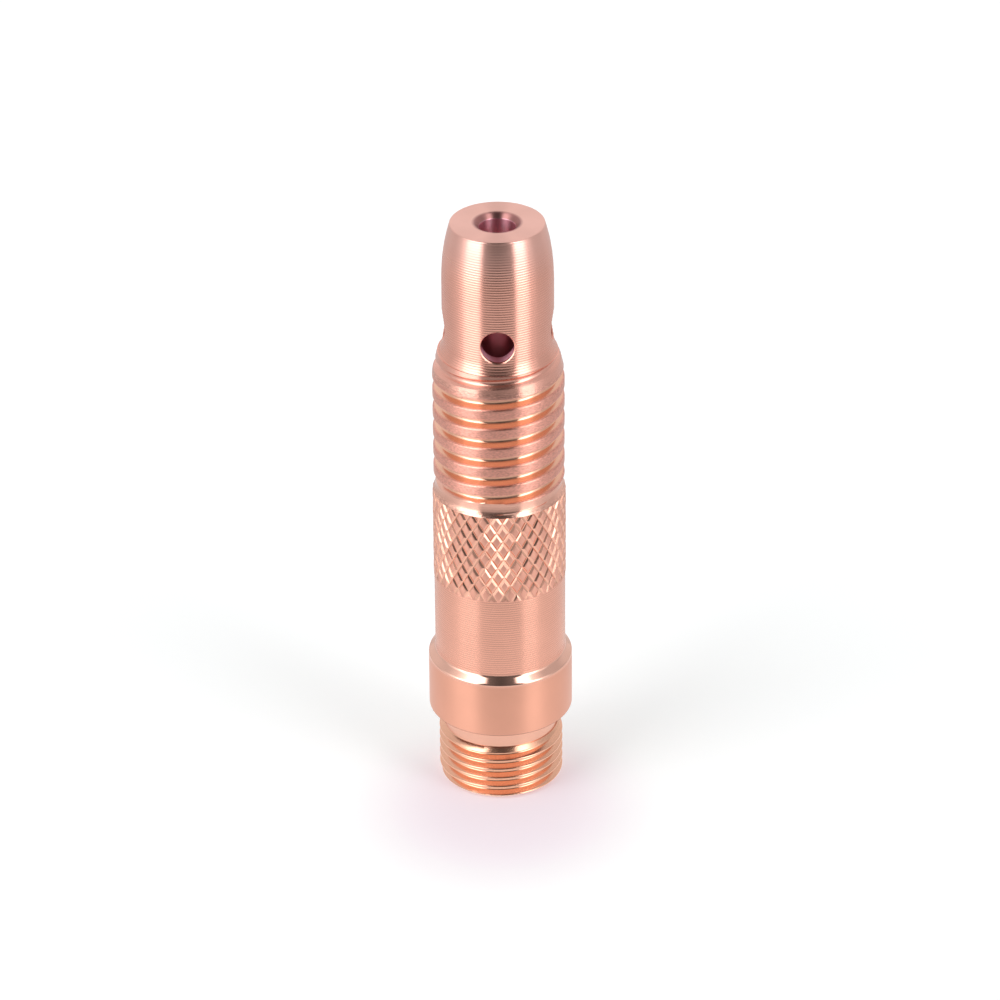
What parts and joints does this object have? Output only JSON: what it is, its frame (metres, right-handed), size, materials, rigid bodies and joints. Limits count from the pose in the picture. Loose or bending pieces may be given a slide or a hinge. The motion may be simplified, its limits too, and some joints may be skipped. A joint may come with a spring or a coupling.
{
  "type": "tig torch collet body",
  "caption": "Slender copper collet body for a TIG welding torch, with a fine rear thread, stop flange, knurled grip, coarse cup thread and a drilled nose, holding a split collet.",
  "frame": {"origin": "centre of the rear rim, on the surface that the part stands on", "axes": "+Z along the bore axis from the rear thread to the nose; -Y towards the camera, +X to its right"},
  "size_m": [0.011, 0.011, 0.047],
  "materials": {
    "body_copper": "bright turned copper",
    "collet_copper": "satin copper"
  },
  "bodies": {
    "collet_body": {"collet_body": "body_copper"},
    "collet": {"collet": "collet_copper"}
  },
  "joints": [
    {"name": "collet_slide", "type": "slide", "parent": "collet_body", "child": "collet", "axis": [0, 0, 1], "range_m": [-0.042, 0.0012]}
  ]
}
